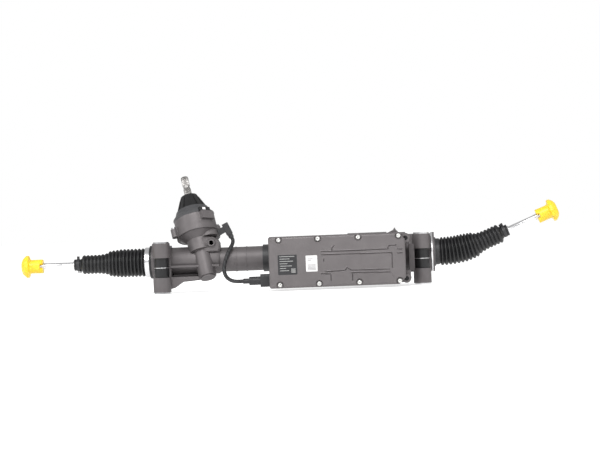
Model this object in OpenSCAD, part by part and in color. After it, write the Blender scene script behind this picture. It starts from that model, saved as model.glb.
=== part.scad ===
// Rack and pinion steering gear with a belt-driven ball-screw power unit.
// X runs along the rack, Z is up, and Y points away from the controller cover.
// The origin is the middle of the left mounting bush's bolt hole.

/* [Mountings] */
// Distance between the two mounting bolts, mm
mount_span = 554; // [540:1:600]
// Height of a mounting eye, mm
mount_h = 104; // [96:1:120]
// Outside diameter of a mounting eye, mm
mount_d = 38; // [37:0.5:42]
// Hole for the mounting bolt, mm
mount_bolt_d = 14; // [10:0.5:16]
// Rack axis behind the mounting bolts, mm
mount_to_rack_y = 44; // [42:1:52]
// Rack axis above the middle of the mounting eyes, mm
mount_to_rack_z = 12; // [6:1:16]
// Height of the window in a mounting eye, mm
mount_window_h = 42; // [30:1:50]

/* [Rack] */
// Diameter of the rack bar, mm
rack_d = 28; // [27:0.5:30]
// From the middle of the gear to each ball joint, mm
rack_half = 362; // [358:1:380]
// Travel of the rack each way, mm
rack_travel = 72; // [50:1:73]
// Outside diameter of the rack tube, mm
tube_d = 52; // [48:1:56]
// Wall of the rack tube, mm
tube_wall = 9.5; // [8:0.5:10]
// Where the two housings meet, left of the middle, mm
joint_left = 52; // [45:1:60]

/* [Pinion and tower] */
// From the left mounting bolt to the pinion, mm
pinion_from_mount = 87; // [85:1:100]
// Number of pinion teeth
pinion_teeth = 8; // [7:1:9]
// Tooth module, mm
tooth_module = 2.25; // [2:0.05:2.4]
// Tilt of the pinion axis towards the left end, degrees
tilt = 12.5; // [8:0.5:16]
// Lean of the tower away from the controller cover, degrees
lean = 22; // [16:1:26]
// Diameter of the input shaft, mm
input_d = 16; // [15:0.5:17]
// Free length of the input shaft above the tower, mm
input_free = 48; // [40:1:60]
// Outside diameter of the sensor housing, mm
sensor_d = 88; // [80:1:92]

/* [Power unit] */
// Length of the power unit, mm
pod_l = 285; // [280:1:300]
// Height of the power unit, mm
pod_h = 108; // [104:1:116]
// Motor axis in front of the rack, mm
motor_front = 86; // [85:0.5:92]
// Motor axis below the rack, mm
motor_below = 8; // [4:1:10]
// Outside diameter of the motor's stator, mm
stator_d = 72; // [64:1:74]
// Teeth of the driven pulley
driven_teeth = 72; // [66:1:76]
// Teeth of the drive pulley
drive_teeth = 27; // [24:1:30]
// Outside diameter of the ball nut, mm
nut_d = 48; // [44:1:52]
// Thickness of the controller cover, mm
cover_t = 5; // [4:0.5:6]

/* [Tie rods] */
// Rise of the right tie rod, degrees
right_rise = 22; // [0:1:24]
// From ball joint to the end of the thread, mm
rod_l = 215; // [205:1:260]
// Diameter of the ball, mm
ball_d = 24; // [22:0.5:25]
// Diameter of the tie rod's thread, mm
rod_thread_d = 14; // [13:0.5:15]
// Outside diameter of the bellows' wide pleats, mm
boot_d = 61; // [60:0.5:66]
// Outside diameter of the bellows' narrow pleats, mm
boot_small_d = 41; // [38:0.5:44]
// Number of pleats of a bellows
boot_pleats = 16; // [12:1:18]
// Outside diameter of the transport cap's flange, mm
cap_flange_d = 48; // [40:1:54]

/* [Hidden] */
$fn = 64;

// Clearances: pressed or bolted pieces, running fits, and free air
seat_gap = 0.02;
run_gap = 0.05;
air = 0.5;

// Stations along the rack, measured from the middle between the bolts
mount_x = mount_span / 2;
left_end = -(mount_x + 28);
nose_l = 12;
right_end = mount_x + 27;
bell_floor = rack_half - 24 - rack_travel - 3;
bell_r = 20.5;
left_nose_r = 27.8;
right_nose_r = 23.8;
left_flange_r = 35;
right_flange_r = 42;
tube_bore_r = tube_d / 2 - tube_wall;
rack_r = rack_d / 2;
pinion_x = -(mount_x - pinion_from_mount);
sleeve_l = 20;

// Teeth of the pinion and rack: involute, 20 degrees, profile shift 0.5
pressure = 20;
shift = 0.5;
pitch_r = tooth_module * pinion_teeth / 2;
base_r = pitch_r * cos(pressure);
rack_addendum = 0.9 * tooth_module;
tip_r = pitch_r + (shift + 0.8) * tooth_module;
root_r = pitch_r + shift * tooth_module - rack_addendum - 0.4;
tooth_pitch = PI * tooth_module;
backlash = 0.12;
rack_pitch_x = tooth_pitch / cos(tilt);
rack_flat = rack_r - 3.5;
rack_reference = rack_flat - rack_addendum;
pinion_offset = rack_reference + pitch_r + shift * tooth_module;
rack_root = pinion_offset - tip_r - 0.45;
rack_grooves = floor((2 * rack_travel + 26) / rack_pitch_x);
pinion_l = 28;

// Stations along the pinion axis, from the rack axis upwards
flange_z = 50;
flange_t = 12;
sensor_z = flange_z + flange_t;
sensor_h = 26;
collar_z = sensor_z + sensor_h;
collar_h = 22;
boot_z = collar_z + collar_h;
boot_h = 34;
input_top = boot_z + boot_h + input_free;
flange_r = sensor_d / 2 + 2;
ear_angles = [30, 112, 200];
ear_ring_r = sensor_d / 2 + 6.5;
ear_r = 7;
ear_h = 9;
journal_r = 9;
input_r = input_d / 2;
neck_shaft_r = input_r + 0.5;
upper_z = 34;
upper_t = 12;
upper_r = 20;
lower_z = -38;
lower_t = 10;
lower_r = 13;
bottom_z = lower_z - 8;
bush_r = 15.5;
yoke_r = 15;
yoke_out = 46;
spring_r = 7;
spring_wire = 2.4;
spring_rings = 60;
spring_turns = 4;
spring_l = 16;
spring_z = 21.4;

// Power unit
pod_x = -42;
pod_end = pod_x + pod_l;
pod_back = 46;
tray_front = motor_front + 46;
tray_t = 8;
belt_x = 205;
belt_w = 22;
belt_case_x = 202;
belt_pitch = 3;
driven_r = driven_teeth * belt_pitch / (2 * PI);
drive_r = drive_teeth * belt_pitch / (2 * PI);
belt_t = 2.4;
motor_x = 70;
motor_l = 100;
rotor_r = 20;
shaft_r = 6;
nut_x = 150;
nut_l = 46;
screw_r = rack_r - 1;
nut_ball_r = 2;
nut_case_r = 46;
cover_screw_x = [22, 104, 188, 272];
cover_screw_z = pod_h / 2 - 7;
nut_turn_balls = 20;

// Ball joints and tie rods
ball_r = ball_d / 2;
seat_t = 2;
socket_r = 18.5;
socket_back = 24;
socket_mouth = 9.5;
mouth_angle = 58;
neck_r = 5.5;
neck_l = 48;
shank_r = 6.2;
cuff_z = 90;
cuff_l = 18;
cuff_r = 8.5;
thread_l = 46;
boot_wall = 1.6;
pleat_depth = 5;
cap_l = 46;
left_start = left_end - nose_l + rack_half;
right_start = right_end + nose_l - rack_half;
bend_reach = -right_start;
bend_r = bend_reach / tan(right_rise / 2);
boot_sides = 32;
rack_end = rack_half - socket_back;
stud_r = 8;
flank_steps = 6;
cap_z = rod_l + 7 - cap_l;
cuff_gap = 0.2;

cast = [0.42, 0.41, 0.42];
black = [0.08, 0.08, 0.09];
steel = [0.72, 0.73, 0.75];
yellow = [0.98, 0.8, 0.1];

// The sensor cable's route in the gear's own frame, from the sensor to the power unit
cable_route = [
  [-130, -6, 50], [-126, -6, 41], [-127, -12, 32], [-131, -24, 24], [-136, -34, 12],
  [-141, -38, -2], [-144, -40, -16], [-143, -44, -28], [-137, -52, -38], [-127, -61, -44],
  [-116, -68, -46], [-105, -70, -46], [-96, -70, -46]
];
cable_d = 8;
plug_lean = 25;
plug_l = 30;
relief_r = cable_d / 2 + 1.6;
cable_hole_r = cable_d / 2 + 0.25;

// Frames of reference
module in_gear() translate([mount_x, mount_to_rack_y, mount_to_rack_z]) children();
module along_x(x) in_gear() translate([x, 0, 0]) rotate([0, 90, 0]) children();
module in_lean() in_gear() translate([pinion_x, 0, 0]) rotate([-lean, 0, 0]) children();
module in_pinion() in_lean() translate([0, -pinion_offset, 0]) rotate([0, -tilt, 0]) children();
module on_motor(x) in_gear() translate([x, -motor_front, -motor_below]) rotate([0, 90, 0])
  children();
module at_mount(side) in_gear()
  translate([side * mount_x, -mount_to_rack_y, -mount_to_rack_z]) children();
module left_rod_frame() in_gear() translate([-rack_half, 0, 0]) rotate([0, -90, 0]) children();
module right_rod_frame() in_gear() translate([rack_half, 0, 0]) rotate([0, 90 - right_rise, 0])
  children();
module right_socket_frame() in_gear() translate([rack_half, 0, 0]) rotate([0, 90, 0]) children();

module ring(outer, inner, h) difference() {
  cylinder(r = outer, h = h);
  translate([0, 0, -1]) cylinder(r = inner, h = h + 2);
}

module rounded_square(size, r) {
  square([size.x - 2 * r, size.y], center = true);
  square([size.x, size.y - 2 * r], center = true);
  for (sx = [-1, 1], sy = [-1, 1])
    translate([sx * (size.x / 2 - r), sy * (size.y / 2 - r)]) circle(r);
}

// A mounting eye: an upright tube tied back to the rack tube, with a window at the front
module mount_eye_body(side) at_mount(side) {
  translate([0, 0, -mount_h / 2]) cylinder(r = mount_d / 2, h = mount_h);
  translate([-mount_d / 2, 0, -mount_h / 2 + 6])
    cube([mount_d, mount_to_rack_y, mount_h - 12]);
}

module mount_eye_cut(side) at_mount(side) {
  translate([0, 0, -mount_h / 2 - 1]) cylinder(r = bush_r + seat_gap, h = mount_h + 2);
  translate([-mount_d / 2 - 1, -mount_d / 2 - 1, -mount_window_h / 2])
    cube([mount_d + 2, mount_d / 2 + 9, mount_window_h]);
}

module mount_bushes(side) color(black) at_mount(side) for (up = [0, 1]) mirror([0, 0, up])
  translate([0, 0, air]) ring(bush_r, mount_bolt_d / 2 + 3 + seat_gap, mount_h / 2 - air);

module mount_sleeves(side) color(steel) at_mount(side) for (up = [0, 1]) mirror([0, 0, up]) {
  translate([0, 0, air]) ring(mount_bolt_d / 2 + 3, mount_bolt_d / 2, mount_h / 2 - air);
  translate([0, 0, mount_h / 2]) ring(bush_r + 1.5, mount_bolt_d / 2, 3);
}

module left_mount_bushes() mount_bushes(-1);
module right_mount_bushes() mount_bushes(1);
module left_mount_sleeves() mount_sleeves(-1);
module right_mount_sleeves() mount_sleeves(1);

// Pinion housing: tube, bell for the ball joint, tower, lower boss, yoke boss and left eye
module pinion_housing() color(cast) difference() {
  union() {
    along_x(left_end + nose_l) cylinder(r = tube_d / 2, h = -joint_left - left_end - nose_l);
    along_x(left_end) cylinder(r = bell_r + 9, h = -left_end - bell_floor + 6);
    along_x(left_end) cylinder(r = left_flange_r, h = 9);
    along_x(left_end - nose_l) cylinder(r = left_nose_r, h = nose_l + 1);
    mount_eye_body(-1);
    in_pinion() translate([0, 0, bottom_z]) cylinder(r = lower_r + 6, h = flange_z - bottom_z);
    in_pinion() translate([0, 0, 12]) cylinder(r = upper_r + 7, h = flange_z - 12);
    in_pinion() translate([0, 0, flange_z - 12]) cylinder(r1 = upper_r + 7, r2 = flange_r - 4, h = 12);
    in_pinion() translate([0, 0, flange_z]) cylinder(r = flange_r, h = flange_t);
    in_lean() rotate([-90, 0, 0]) cylinder(r = yoke_r + 6, h = yoke_out);
    in_pinion() translate([20, -2, flange_z - 13]) cylinder(r = 26, h = 14);
    in_pinion() at_each_ear() translate([0, 0, -flange_t + 2]) screw_ear(flange_t - 2);
    pinion_ribs();
  }
  along_x(left_end - nose_l - 1) cylinder(r = bell_r, h = nose_l - left_end - bell_floor + 1);
  along_x(left_end) cylinder(r = tube_bore_r, h = -joint_left - left_end + 1);
  mount_eye_cut(-1);
  in_pinion() translate([0, 0, lower_z]) cylinder(r = tip_r + air, h = upper_z - lower_z + 1);
  in_pinion() translate([0, 0, bottom_z - 1])
    cylinder(r = lower_r + seat_gap, h = lower_z + lower_t - bottom_z + 1);
  in_pinion() translate([0, 0, upper_z]) cylinder(r = upper_r + seat_gap, h = sensor_z - upper_z + 1);
  in_pinion() translate([0, 0, bottom_z - 4]) cylinder(r = lower_r + 4, h = 4);
  in_pinion() at_each_ear() translate([0, 0, -flange_t - 1])
    cylinder(r = 2.5 + seat_gap, h = flange_t + 2);
  in_lean() rotate([-90, 0, 0]) cylinder(r = yoke_r + run_gap, h = yoke_out + 1);
}

// Casting webs that run from the left eye to the lower boss
module pinion_ribs() {
  eye_x = -mount_x;
  low_z = -mount_to_rack_z - mount_h / 2;
  in_gear() translate([eye_x, -36, -mount_to_rack_z - 1]) cube([pinion_x - eye_x, 36, 5]);
  in_gear() translate([0, -8, 0]) rotate([90, 0, 0]) linear_extrude(26)
    polygon([[eye_x, low_z + 6], [eye_x + 24, low_z + 7], [eye_x + 45, low_z + 21],
             [pinion_x + 4, low_z + 26], [pinion_x + 4, low_z + 31], [eye_x, low_z + 31]]);
}

module housing_sleeve() color(black)
  along_x(-joint_left - sleeve_l / 2) ring(tube_d / 2 + 3, tube_d / 2 + seat_gap, sleeve_l);

// Drive housing: tube, ball nut case, belt case, neck, bell and right eye
module belt_case_outline(grow) {
  circle(driven_r + grow);
  translate([motor_below, -motor_front]) circle(drive_r + grow);
  tangent_band(driven_r + grow, drive_r + grow);
}

// The part of a belt's outline between two round ends of radius a and b
module tangent_band(a, b) {
  along = [motor_below, -motor_front];
  d = norm(along);
  u = along / d;
  side = [-u.y, u.x];
  c = (a - b) / d;
  s = sqrt(1 - c * c);
  p = u * c + side * s;
  q = u * c - side * s;
  polygon([a * p, along + b * p, along + b * q, a * q]);
}

module drive_housing() color(cast) difference() {
  union() {
    along_x(-joint_left) cylinder(r = tube_d / 2, h = nut_x - 20 + joint_left);
    along_x(nut_x - 30) cylinder(r = nut_case_r, h = belt_case_x - nut_x + 31);
    along_x(belt_case_x) linear_extrude(pod_end - belt_case_x) belt_case_outline(10);
    along_x(pod_end - 1) cylinder(r = 40, h = mount_x - mount_d / 2 - pod_end + 2);
    along_x(mount_x - mount_d / 2) cylinder(r = bell_r + 9, h = right_end - 2 - mount_x + mount_d / 2);
    along_x(right_end - 5) cylinder(r = right_flange_r, h = 5);
    along_x(right_end - 1) cylinder(r = right_nose_r, h = nose_l + 1);
    mount_eye_body(1);
  }
  along_x(-joint_left - 1) cylinder(r = tube_bore_r, h = nut_x - 20 + joint_left);
  along_x(nut_x - 22) cylinder(r = 40, h = belt_case_x - nut_x + 23);
  along_x(belt_case_x - 1) linear_extrude(pod_end - belt_case_x - 5) belt_case_outline(4);
  along_x(pod_end - 8) cylinder(r = tube_bore_r, h = right_end - pod_end);
  along_x(bell_floor) cylinder(r = bell_r, h = right_end + nose_l - bell_floor + 1);
  mount_eye_cut(1);
}

// Motor case: a cast body round the motor, with a tray for the circuit board in front
module pod_outline(inset) {
  x0 = inset;
  x1 = pod_l - inset;
  z1 = pod_h / 2 - inset;
  cut = 14;
  polygon([[x0, -z1 + 3], [x0 + 3, -z1], [x1 - cut, -z1], [x1, -z1 + cut],
           [x1, z1 - cut], [x1 - cut, z1], [x0 + 3, z1], [x0, z1 - 3]]);
}

module in_tray(front) in_gear() translate([pod_x, -front, -motor_below]) rotate([90, 0, 0])
  children();

module motor_case() color(cast) difference() {
  union() {
    in_gear() translate([pod_x, -tray_front + tray_t, -motor_below - pod_h / 2 + 3])
      cube([belt_case_x - pod_x, tray_front - tray_t - pod_back - 14, pod_h - 6]);
    on_motor(pod_x) intersection() {
      cylinder(r = pod_h / 2 - 3, h = belt_case_x - pod_x);
      translate([-pod_h / 2, 0, 0]) cube([pod_h, motor_front - pod_back, belt_case_x - pod_x]);
    }
    in_tray(tray_front - tray_t) linear_extrude(tray_t) pod_outline(0);
  }
  in_tray(tray_front - tray_t + 2) linear_extrude(tray_t) difference() {
    pod_outline(6);
    each_cover_screw() circle(6);
  }
  in_tray(tray_front - 4) each_cover_screw() cylinder(r = 2.4 + seat_gap, h = 5);
  on_motor(motor_x - 20) cylinder(r = stator_d / 2 + seat_gap, h = motor_l + 32);
  on_motor(motor_x - 32) cylinder(r = 16 + seat_gap, h = motor_l + 100);
}

module circuit_board() color([0.1, 0.35, 0.2]) {
  in_tray(tray_front - tray_t + 2) linear_extrude(1.6) difference() {
    pod_outline(7);
    each_cover_screw() circle(7);
  }
  in_tray(tray_front - tray_t + 3.6) for (x = [60, 150, 210]) translate([x, 8, 0])
    linear_extrude(2) rounded_square([24, 24], 1);
}

module each_cover_screw() for (x = cover_screw_x, side = [-1, 1])
  translate([x, side * cover_screw_z, 0]) children();

// Controller cover: a flat lid with round screw pockets and sunk panels between ribs
module controller_cover() color(cast) in_tray(tray_front) difference() {
  linear_extrude(cover_t) pod_outline(0);
  each_cover_screw() translate([0, 0, cover_t - 2.5]) cylinder(r = 7, h = 3);
  each_cover_screw() translate([0, 0, -1]) cylinder(r = 2.5, h = cover_t + 2);
  translate([180, 3, cover_t - 1.5]) linear_extrude(2) rounded_square([150, 29], 2);
  translate([172, 35, cover_t - 1.5]) linear_extrude(2) rounded_square([134, 16], 2);
  translate([176, -31, cover_t - 1.5]) linear_extrude(2) rounded_square([126, 20], 2);
}

module cover_screws() color(steel) in_tray(tray_front) each_cover_screw() {
  translate([0, 0, cover_t - 2.5]) cylinder(r = 4.8, h = 3.4);
  translate([0, 0, -3]) cylinder(r = 2.4, h = cover_t + 1);
}

module at_each_ear() for (a = ear_angles) rotate([0, 0, a]) translate([ear_ring_r, 0, sensor_z])
  children();

module screw_ear(h) {
  cylinder(r = ear_r, h = h);
  translate([-12, -ear_r + 1, 0]) cube([12, 2 * ear_r - 2, h]);
}

// Tower: sensor housing, collar, rubber boot and what they hold
module sensor_housing() color(cast) difference() {
  in_pinion() union() {
    translate([0, 0, sensor_z]) cylinder(r = sensor_d / 2, h = sensor_h);
    at_each_ear() screw_ear(ear_h);
    rotate([0, 0, -50]) translate([sensor_d / 2 - 14, -15, sensor_z + 8]) cube([20, 30, sensor_h - 8]);
  }
  in_pinion() translate([0, 0, sensor_z - 1]) cylinder(r = 34, h = sensor_h - 5);
  in_pinion() translate([0, 0, sensor_z]) cylinder(r = 13 + seat_gap, h = sensor_h + 1);
  in_pinion() at_each_ear() translate([0, 0, -1]) cylinder(r = 2.5 + seat_gap, h = ear_h + 2);
}

module sensor_screws() color(steel) in_pinion() at_each_ear() {
  translate([0, 0, -9]) cylinder(r = 2.5, h = ear_h + 9);
  translate([0, 0, ear_h]) cylinder(r = 5, h = 4);
}

module tower_collar() color(black) in_pinion() difference() {
  translate([0, 0, collar_z]) rotate_extrude() polygon([[0, 0], [sensor_d / 2 - 1, 0],
    [sensor_d / 2 + 1, 6], [sensor_d / 2 - 5, 13], [sensor_d / 2 - 9, collar_h], [0, collar_h]]);
  translate([0, 0, collar_z - 1]) cylinder(r = 13 + seat_gap, h = 12);
  translate([0, 0, collar_z + 10]) cylinder(r = neck_shaft_r + 2, h = collar_h);
}

module tower_boot() color(black) in_pinion() translate([0, 0, boot_z]) difference() {
  union() {
    cylinder(r1 = 32, r2 = 18, h = boot_h);
    for (i = [0:11]) rotate([0, 0, 30 * i]) rotate([90, 0, 0]) translate([0, 0, -1])
      linear_extrude(2) polygon([[16, 0], [34, 0], [21, boot_h - 5], [16, boot_h - 5]]);
  }
  translate([0, 0, -1]) cylinder(r1 = 28, r2 = 14, h = boot_h - 3);
  cylinder(r = neck_shaft_r + run_gap, h = boot_h + 1);
}

module input_bush() color(steel) in_pinion() translate([0, 0, collar_z - 6])
  ring(13, neck_shaft_r + run_gap, 14);

module torque_sensor() color([0.1, 0.35, 0.2]) in_pinion() translate([0, 0, sensor_z + 2])
  ring(34 - seat_gap, 22, 8);

module upper_bearing() color(steel) in_pinion() translate([0, 0, upper_z])
  ring(upper_r, journal_r + run_gap, upper_t);

module lower_bearing() color(steel) in_pinion() translate([0, 0, lower_z])
  ring(lower_r, shaft_r + run_gap, lower_t);

module bottom_plug() color(steel) in_pinion() {
  translate([0, 0, bottom_z]) cylinder(r = lower_r, h = lower_z - bottom_z - 1);
  translate([0, 0, bottom_z - 3]) cylinder(r = lower_r + 3, h = 3);
}

// Yoke: a spring-loaded pad that holds the rack against the pinion
module in_yoke(out) in_lean() rotate([-90, 0, 0]) translate([0, 0, out]) children();

module yoke() color(steel) difference() {
  in_yoke(3) cylinder(r = yoke_r, h = 26);
  along_x(pinion_x - 40) cylinder(r = rack_r + run_gap, h = 80);
  in_yoke(20) cylinder(r = 9, h = 10);
}

function spring_point(i) = let (t = i / spring_rings)
  [spring_r * cos(360 * spring_turns * t), spring_r * sin(360 * spring_turns * t),
   spring_z + spring_l * t];
module yoke_spring() color(steel) in_yoke(0)
  tube([for (i = [0:spring_rings]) spring_point(i)], spring_wire / 2, 8);

module yoke_plug() color(steel) {
  in_yoke(39) cylinder(r = yoke_r, h = yoke_out - 39);
  in_yoke(yoke_out) cylinder(r = yoke_r + 3, h = 4);
}

module rack_bush() color(black) along_x(-bell_floor)
  ring(tube_bore_r - seat_gap, rack_r + run_gap, 15);

// A round tube swept along points, with flat ends
function unit(v) = v / norm(v);
function tangent(p, i) = unit(p[min(i + 1, len(p) - 1)] - p[max(i - 1, 0)]);
module tube(p, r, sides) {
  n = len(p);
  points = [for (i = [0:n - 1]) let (t = tangent(p, i), a = unit(cross(t, [0.3, 1, 0.1])),
      b = cross(t, a)) for (k = [0:sides - 1])
      p[i] + r * (cos(360 * k / sides) * a + sin(360 * k / sides) * b)];
  faces = concat(
    [[for (k = [0:sides - 1]) k]],
    [for (i = [0:n - 2], k = [0:sides - 1]) let (m = (k + 1) % sides)
      [i * sides + k, (i + 1) * sides + k, (i + 1) * sides + m, i * sides + m]],
    [[for (k = [sides - 1:-1:0]) (n - 1) * sides + k]]);
  polyhedron(points, faces, convexity = 10);
}

// Sensor connector, its cable and the plug on the power unit
module in_sensor_plug() in_gear() translate(cable_route[0]) rotate([0, -plug_lean, 0]) children();
module sensor_connector() color(black) difference() {
  union() {
    in_sensor_plug() translate([0, 0, 4]) linear_extrude(plug_l - 4) rounded_square([13, 15], 3);
    in_sensor_plug() translate([0, 0, -4]) cylinder(r = relief_r, h = 9);
    in_sensor_plug() translate([-22, -7, 12]) cube([20, 14, 13]);
  }
  in_sensor_plug() translate([0, 0, -5]) cylinder(r = cable_hole_r, h = 5 + air);
  in_pinion() translate([0, 0, flange_z - 20]) cylinder(r = flange_r + seat_gap, h = sensor_h + 40);
}

module sensor_cable() color(black) in_gear() tube(cable_route, cable_d / 2, 10);

module controller_plug() color(black) in_gear() {
  translate([pod_x, -70, -46]) rotate([0, -90, 0]) difference() {
    union() {
      linear_extrude(23) rounded_square([27, 24], 5);
      translate([0, 0, 22]) cylinder(r = 9, h = 25);
      translate([0, 0, 46]) cylinder(r = relief_r, h = 14);
    }
    translate([0, 0, 54 - air]) cylinder(r = cable_hole_r, h = 8);
  }
}

// Ball nut drive
module ball_nut() color(steel) difference() {
  union() {
    along_x(nut_x) cylinder(r = nut_d / 2, h = nut_l);
    along_x(nut_x + nut_l - 1) cylinder(r = 20, h = 37);
  }
  along_x(nut_x - 1) cylinder(r = screw_r + 0.3, h = nut_l + 50);
  along_x(nut_x + 4) cylinder(r = screw_r + 2 * nut_ball_r + 2 * run_gap, h = nut_l - 8);
}

module nut_balls() color(steel) for (i = [0:2 * nut_turn_balls - 1])
  along_x(nut_x + 14 + 7 * i / nut_turn_balls) rotate([0, 0, 360 * i / nut_turn_balls])
    translate([screw_r + nut_ball_r + run_gap, 0, 0]) sphere(r = nut_ball_r, $fn = 24);

module nut_bearing() color(steel) along_x(nut_x + 18) ring(40 - seat_gap, nut_d / 2 + run_gap, 16);

function pulley_outline(teeth, r) = [for (i = [0:teeth - 1], k = [0:3])
  let (a = 360 * (i + [0, 0.2, 0.5, 0.7][k]) / teeth, q = r - [0.9, 0, 0, 0.9][k])
  [q * cos(a), q * sin(a)]];

module driven_pulley() color(steel) along_x(belt_x) difference() {
  linear_extrude(belt_w) polygon(pulley_outline(driven_teeth, driven_r));
  translate([0, 0, -1]) cylinder(r = 20 + seat_gap, h = belt_w + 2);
}

module drive_pulley() color(steel) on_motor(belt_x) difference() {
  linear_extrude(belt_w) polygon(pulley_outline(drive_teeth, drive_r));
  translate([0, 0, -1]) cylinder(r = shaft_r + seat_gap, h = belt_w + 2);
}

module drive_belt() color(black) along_x(belt_x + 1) linear_extrude(belt_w - 2) difference() {
  belt_case_outline(belt_t);
  belt_case_outline(0.1);
}

module motor_rotor() color(steel) {
  on_motor(motor_x - 26) cylinder(r = shaft_r, h = belt_x + belt_w - motor_x + 28);
  on_motor(motor_x) cylinder(r = rotor_r, h = motor_l);
}

module motor_stator() color([0.6, 0.4, 0.2]) on_motor(motor_x) difference() {
  ring(stator_d / 2, rotor_r + 0.6, motor_l);
  for (i = [0:11]) rotate([0, 0, 30 * i]) translate([rotor_r + 3, -2.5, -1])
    cube([stator_d / 2 - rotor_r - 8, 5, motor_l + 2]);
}

module motor_bearings() color(steel) for (x = [motor_x - 32, motor_x + motor_l + 14])
  on_motor(x) ring(16, shaft_r + run_gap, 10);

// Bellows: pleats between a cuff on the housing and a cuff on the tie rod
function boot_r(s) = let (t = min(1, max(0, (s - 8) / 37)), w = t * t * (3 - 2 * t))
  boot_d / 2 + (boot_small_d / 2 - boot_d / 2) * w;
function pleat_s(start, i) = start + (cuff_z - 8 - start) * i / (2 * boot_pleats);
function pleat_r(s, i) = boot_r(s) - (i % 2 == 0 ? pleat_depth : 0);

// Rings of the bellows as [distance from the ball, radius], from the housing to the tie rod
function boot_rings(start, nose_r, cuff_in) = concat(
  [[start - nose_l, nose_r + cuff_gap + cuff_in], [start, nose_r + cuff_gap + cuff_in]],
  [for (i = [0:2 * boot_pleats]) let (s = pleat_s(start, i))
    [s + (i == 0 ? 1 : 0), pleat_r(s, i) - (cuff_in == 0 ? boot_wall : 0)]],
  [[cuff_z, cuff_r + cuff_gap + cuff_in], [cuff_z + cuff_l, cuff_r + cuff_gap + cuff_in]]);

module left_boot() color(black) left_rod_frame() rotate_extrude() polygon(concat(
  [for (p = boot_rings(-left_start, left_nose_r, 3)) [p[1], p[0]]],
  let (inner = boot_rings(-left_start, left_nose_r, 0))
    [for (i = [len(inner) - 1:-1:0]) [inner[i][1], inner[i][0]]]));

// The right bellows bends with its tie rod: an arc between two straight stretches
function bend_angle(s) = let (a = 2 * bend_reach) right_rise * min(1, max(0, (s + bend_reach) / a));
function bend_point(s) = let (a = bend_angle(s), over = s - bend_reach)
  s <= -bend_reach ? [s, 0] :
  [-bend_reach + bend_r * sin(a) + (s > bend_reach ? over * cos(a) : 0),
   bend_r * (1 - cos(a)) + (s > bend_reach ? over * sin(a) : 0)];
module right_boot() {
  outer = boot_rings(right_start, right_nose_r, 3);
  inner = boot_rings(right_start, right_nose_r, 0);
  n = len(outer);
  rings = concat(outer, [for (i = [n - 1:-1:0]) inner[i]]);
  points = [for (p = rings) let (c = bend_point(p[0]), a = bend_angle(p[0]))
    for (k = [0:boot_sides - 1]) let (v = 360 * k / boot_sides)
      [c.x - p[1] * sin(v) * sin(a), p[1] * cos(v), c.y + p[1] * sin(v) * cos(a)]];
  faces = [for (i = [0:2 * n - 1], k = [0:boot_sides - 1])
    let (j = (i + 1) % (2 * n), m = (k + 1) % boot_sides)
    [i * boot_sides + k, i * boot_sides + m, j * boot_sides + m, j * boot_sides + k]];
  color(black) in_gear() translate([rack_half, 0, 0]) polyhedron(points, faces, convexity = 20);
}

module large_clamp(nose_r, w) ring(nose_r + 4.2, nose_r + 3 + cuff_gap + run_gap, w);
module left_boot_clamp() color(steel) along_x(left_end - 10) large_clamp(left_nose_r, 9);
module right_boot_clamp() color(steel) along_x(right_end + 3) large_clamp(right_nose_r, 7);

// Rack: toothed near the pinion, ball screw near the nut, threaded ends for the sockets
module rack() color(steel) difference() {
  union() {
    along_x(-rack_end) cylinder(r = rack_r, h = rack_end + nut_x - rack_travel - 12);
    along_x(nut_x - rack_travel - 13) cylinder(r = screw_r, h = nut_l + 2 * rack_travel + 60);
    along_x(nut_x + rack_travel + nut_l + 46)
      cylinder(r = screw_r, h = rack_end - nut_x - rack_travel - nut_l - 46);
  }
  in_lean() translate([-rack_travel - 14, -rack_flat - 10, -20])
    cube([2 * rack_travel + 28, 10, 40]);
  for (i = [-floor(rack_grooves / 2):floor(rack_grooves / 2)])
    in_lean() translate([i * rack_pitch_x, 0, 0]) rotate([0, -tilt, 0])
      translate([0, 0, -25]) linear_extrude(50) rack_groove();
  for (x = [-rack_end - 1, rack_end - 22]) along_x(x) cylinder(r = stud_r + seat_gap, h = 23);
}

module rack_groove() {
  wide = tooth_pitch / 4 + (rack_addendum + 1) * tan(pressure);
  narrow = tooth_pitch / 4 - (rack_reference - rack_root) * tan(pressure);
  polygon([[-wide, -rack_flat - 1], [wide, -rack_flat - 1], [narrow, -rack_root], [-narrow, -rack_root]]);
}

// Pinion with straight involute teeth, a lower journal and a hollow upper journal
function involute(r) = r <= base_r ? 0 : let (a = acos(base_r / r)) tan(a) * 180 / PI - a;
function half_tooth(r) = (tooth_module * (PI / 2 + 2 * shift * tan(pressure)) - backlash)
  / (2 * pitch_r) * 180 / PI + involute(base_r / cos(pressure)) - involute(r);
function flank_r(k) = base_r + (tip_r - base_r) * k / flank_steps;
function tooth_outline() = concat(
  [[root_r, -half_tooth(base_r)]],
  [for (k = [0:flank_steps]) [flank_r(k), -half_tooth(flank_r(k))]],
  [for (k = [flank_steps:-1:0]) [flank_r(k), half_tooth(flank_r(k))]],
  [[root_r, half_tooth(base_r)]]);
module pinion() color(steel) in_pinion() difference() {
  union() {
    rotate([0, 0, 90]) translate([0, 0, -pinion_l / 2]) linear_extrude(pinion_l)
      polygon([for (i = [0:pinion_teeth - 1], p = tooth_outline())
        let (a = 360 * i / pinion_teeth + p[1])
        [p[0] * cos(a), p[0] * sin(a)]]);
    translate([0, 0, lower_z]) cylinder(r = shaft_r, h = -lower_z - pinion_l / 2 + 1);
    translate([0, 0, pinion_l / 2 - 1]) cylinder(r = journal_r, h = sensor_z - pinion_l / 2 + 1);
    translate([0, 0, sensor_z - 1]) cylinder(r = 12, h = 15);
  }
  translate([0, 0, 24]) cylinder(r = 2.6 + seat_gap, h = 80);
}

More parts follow.
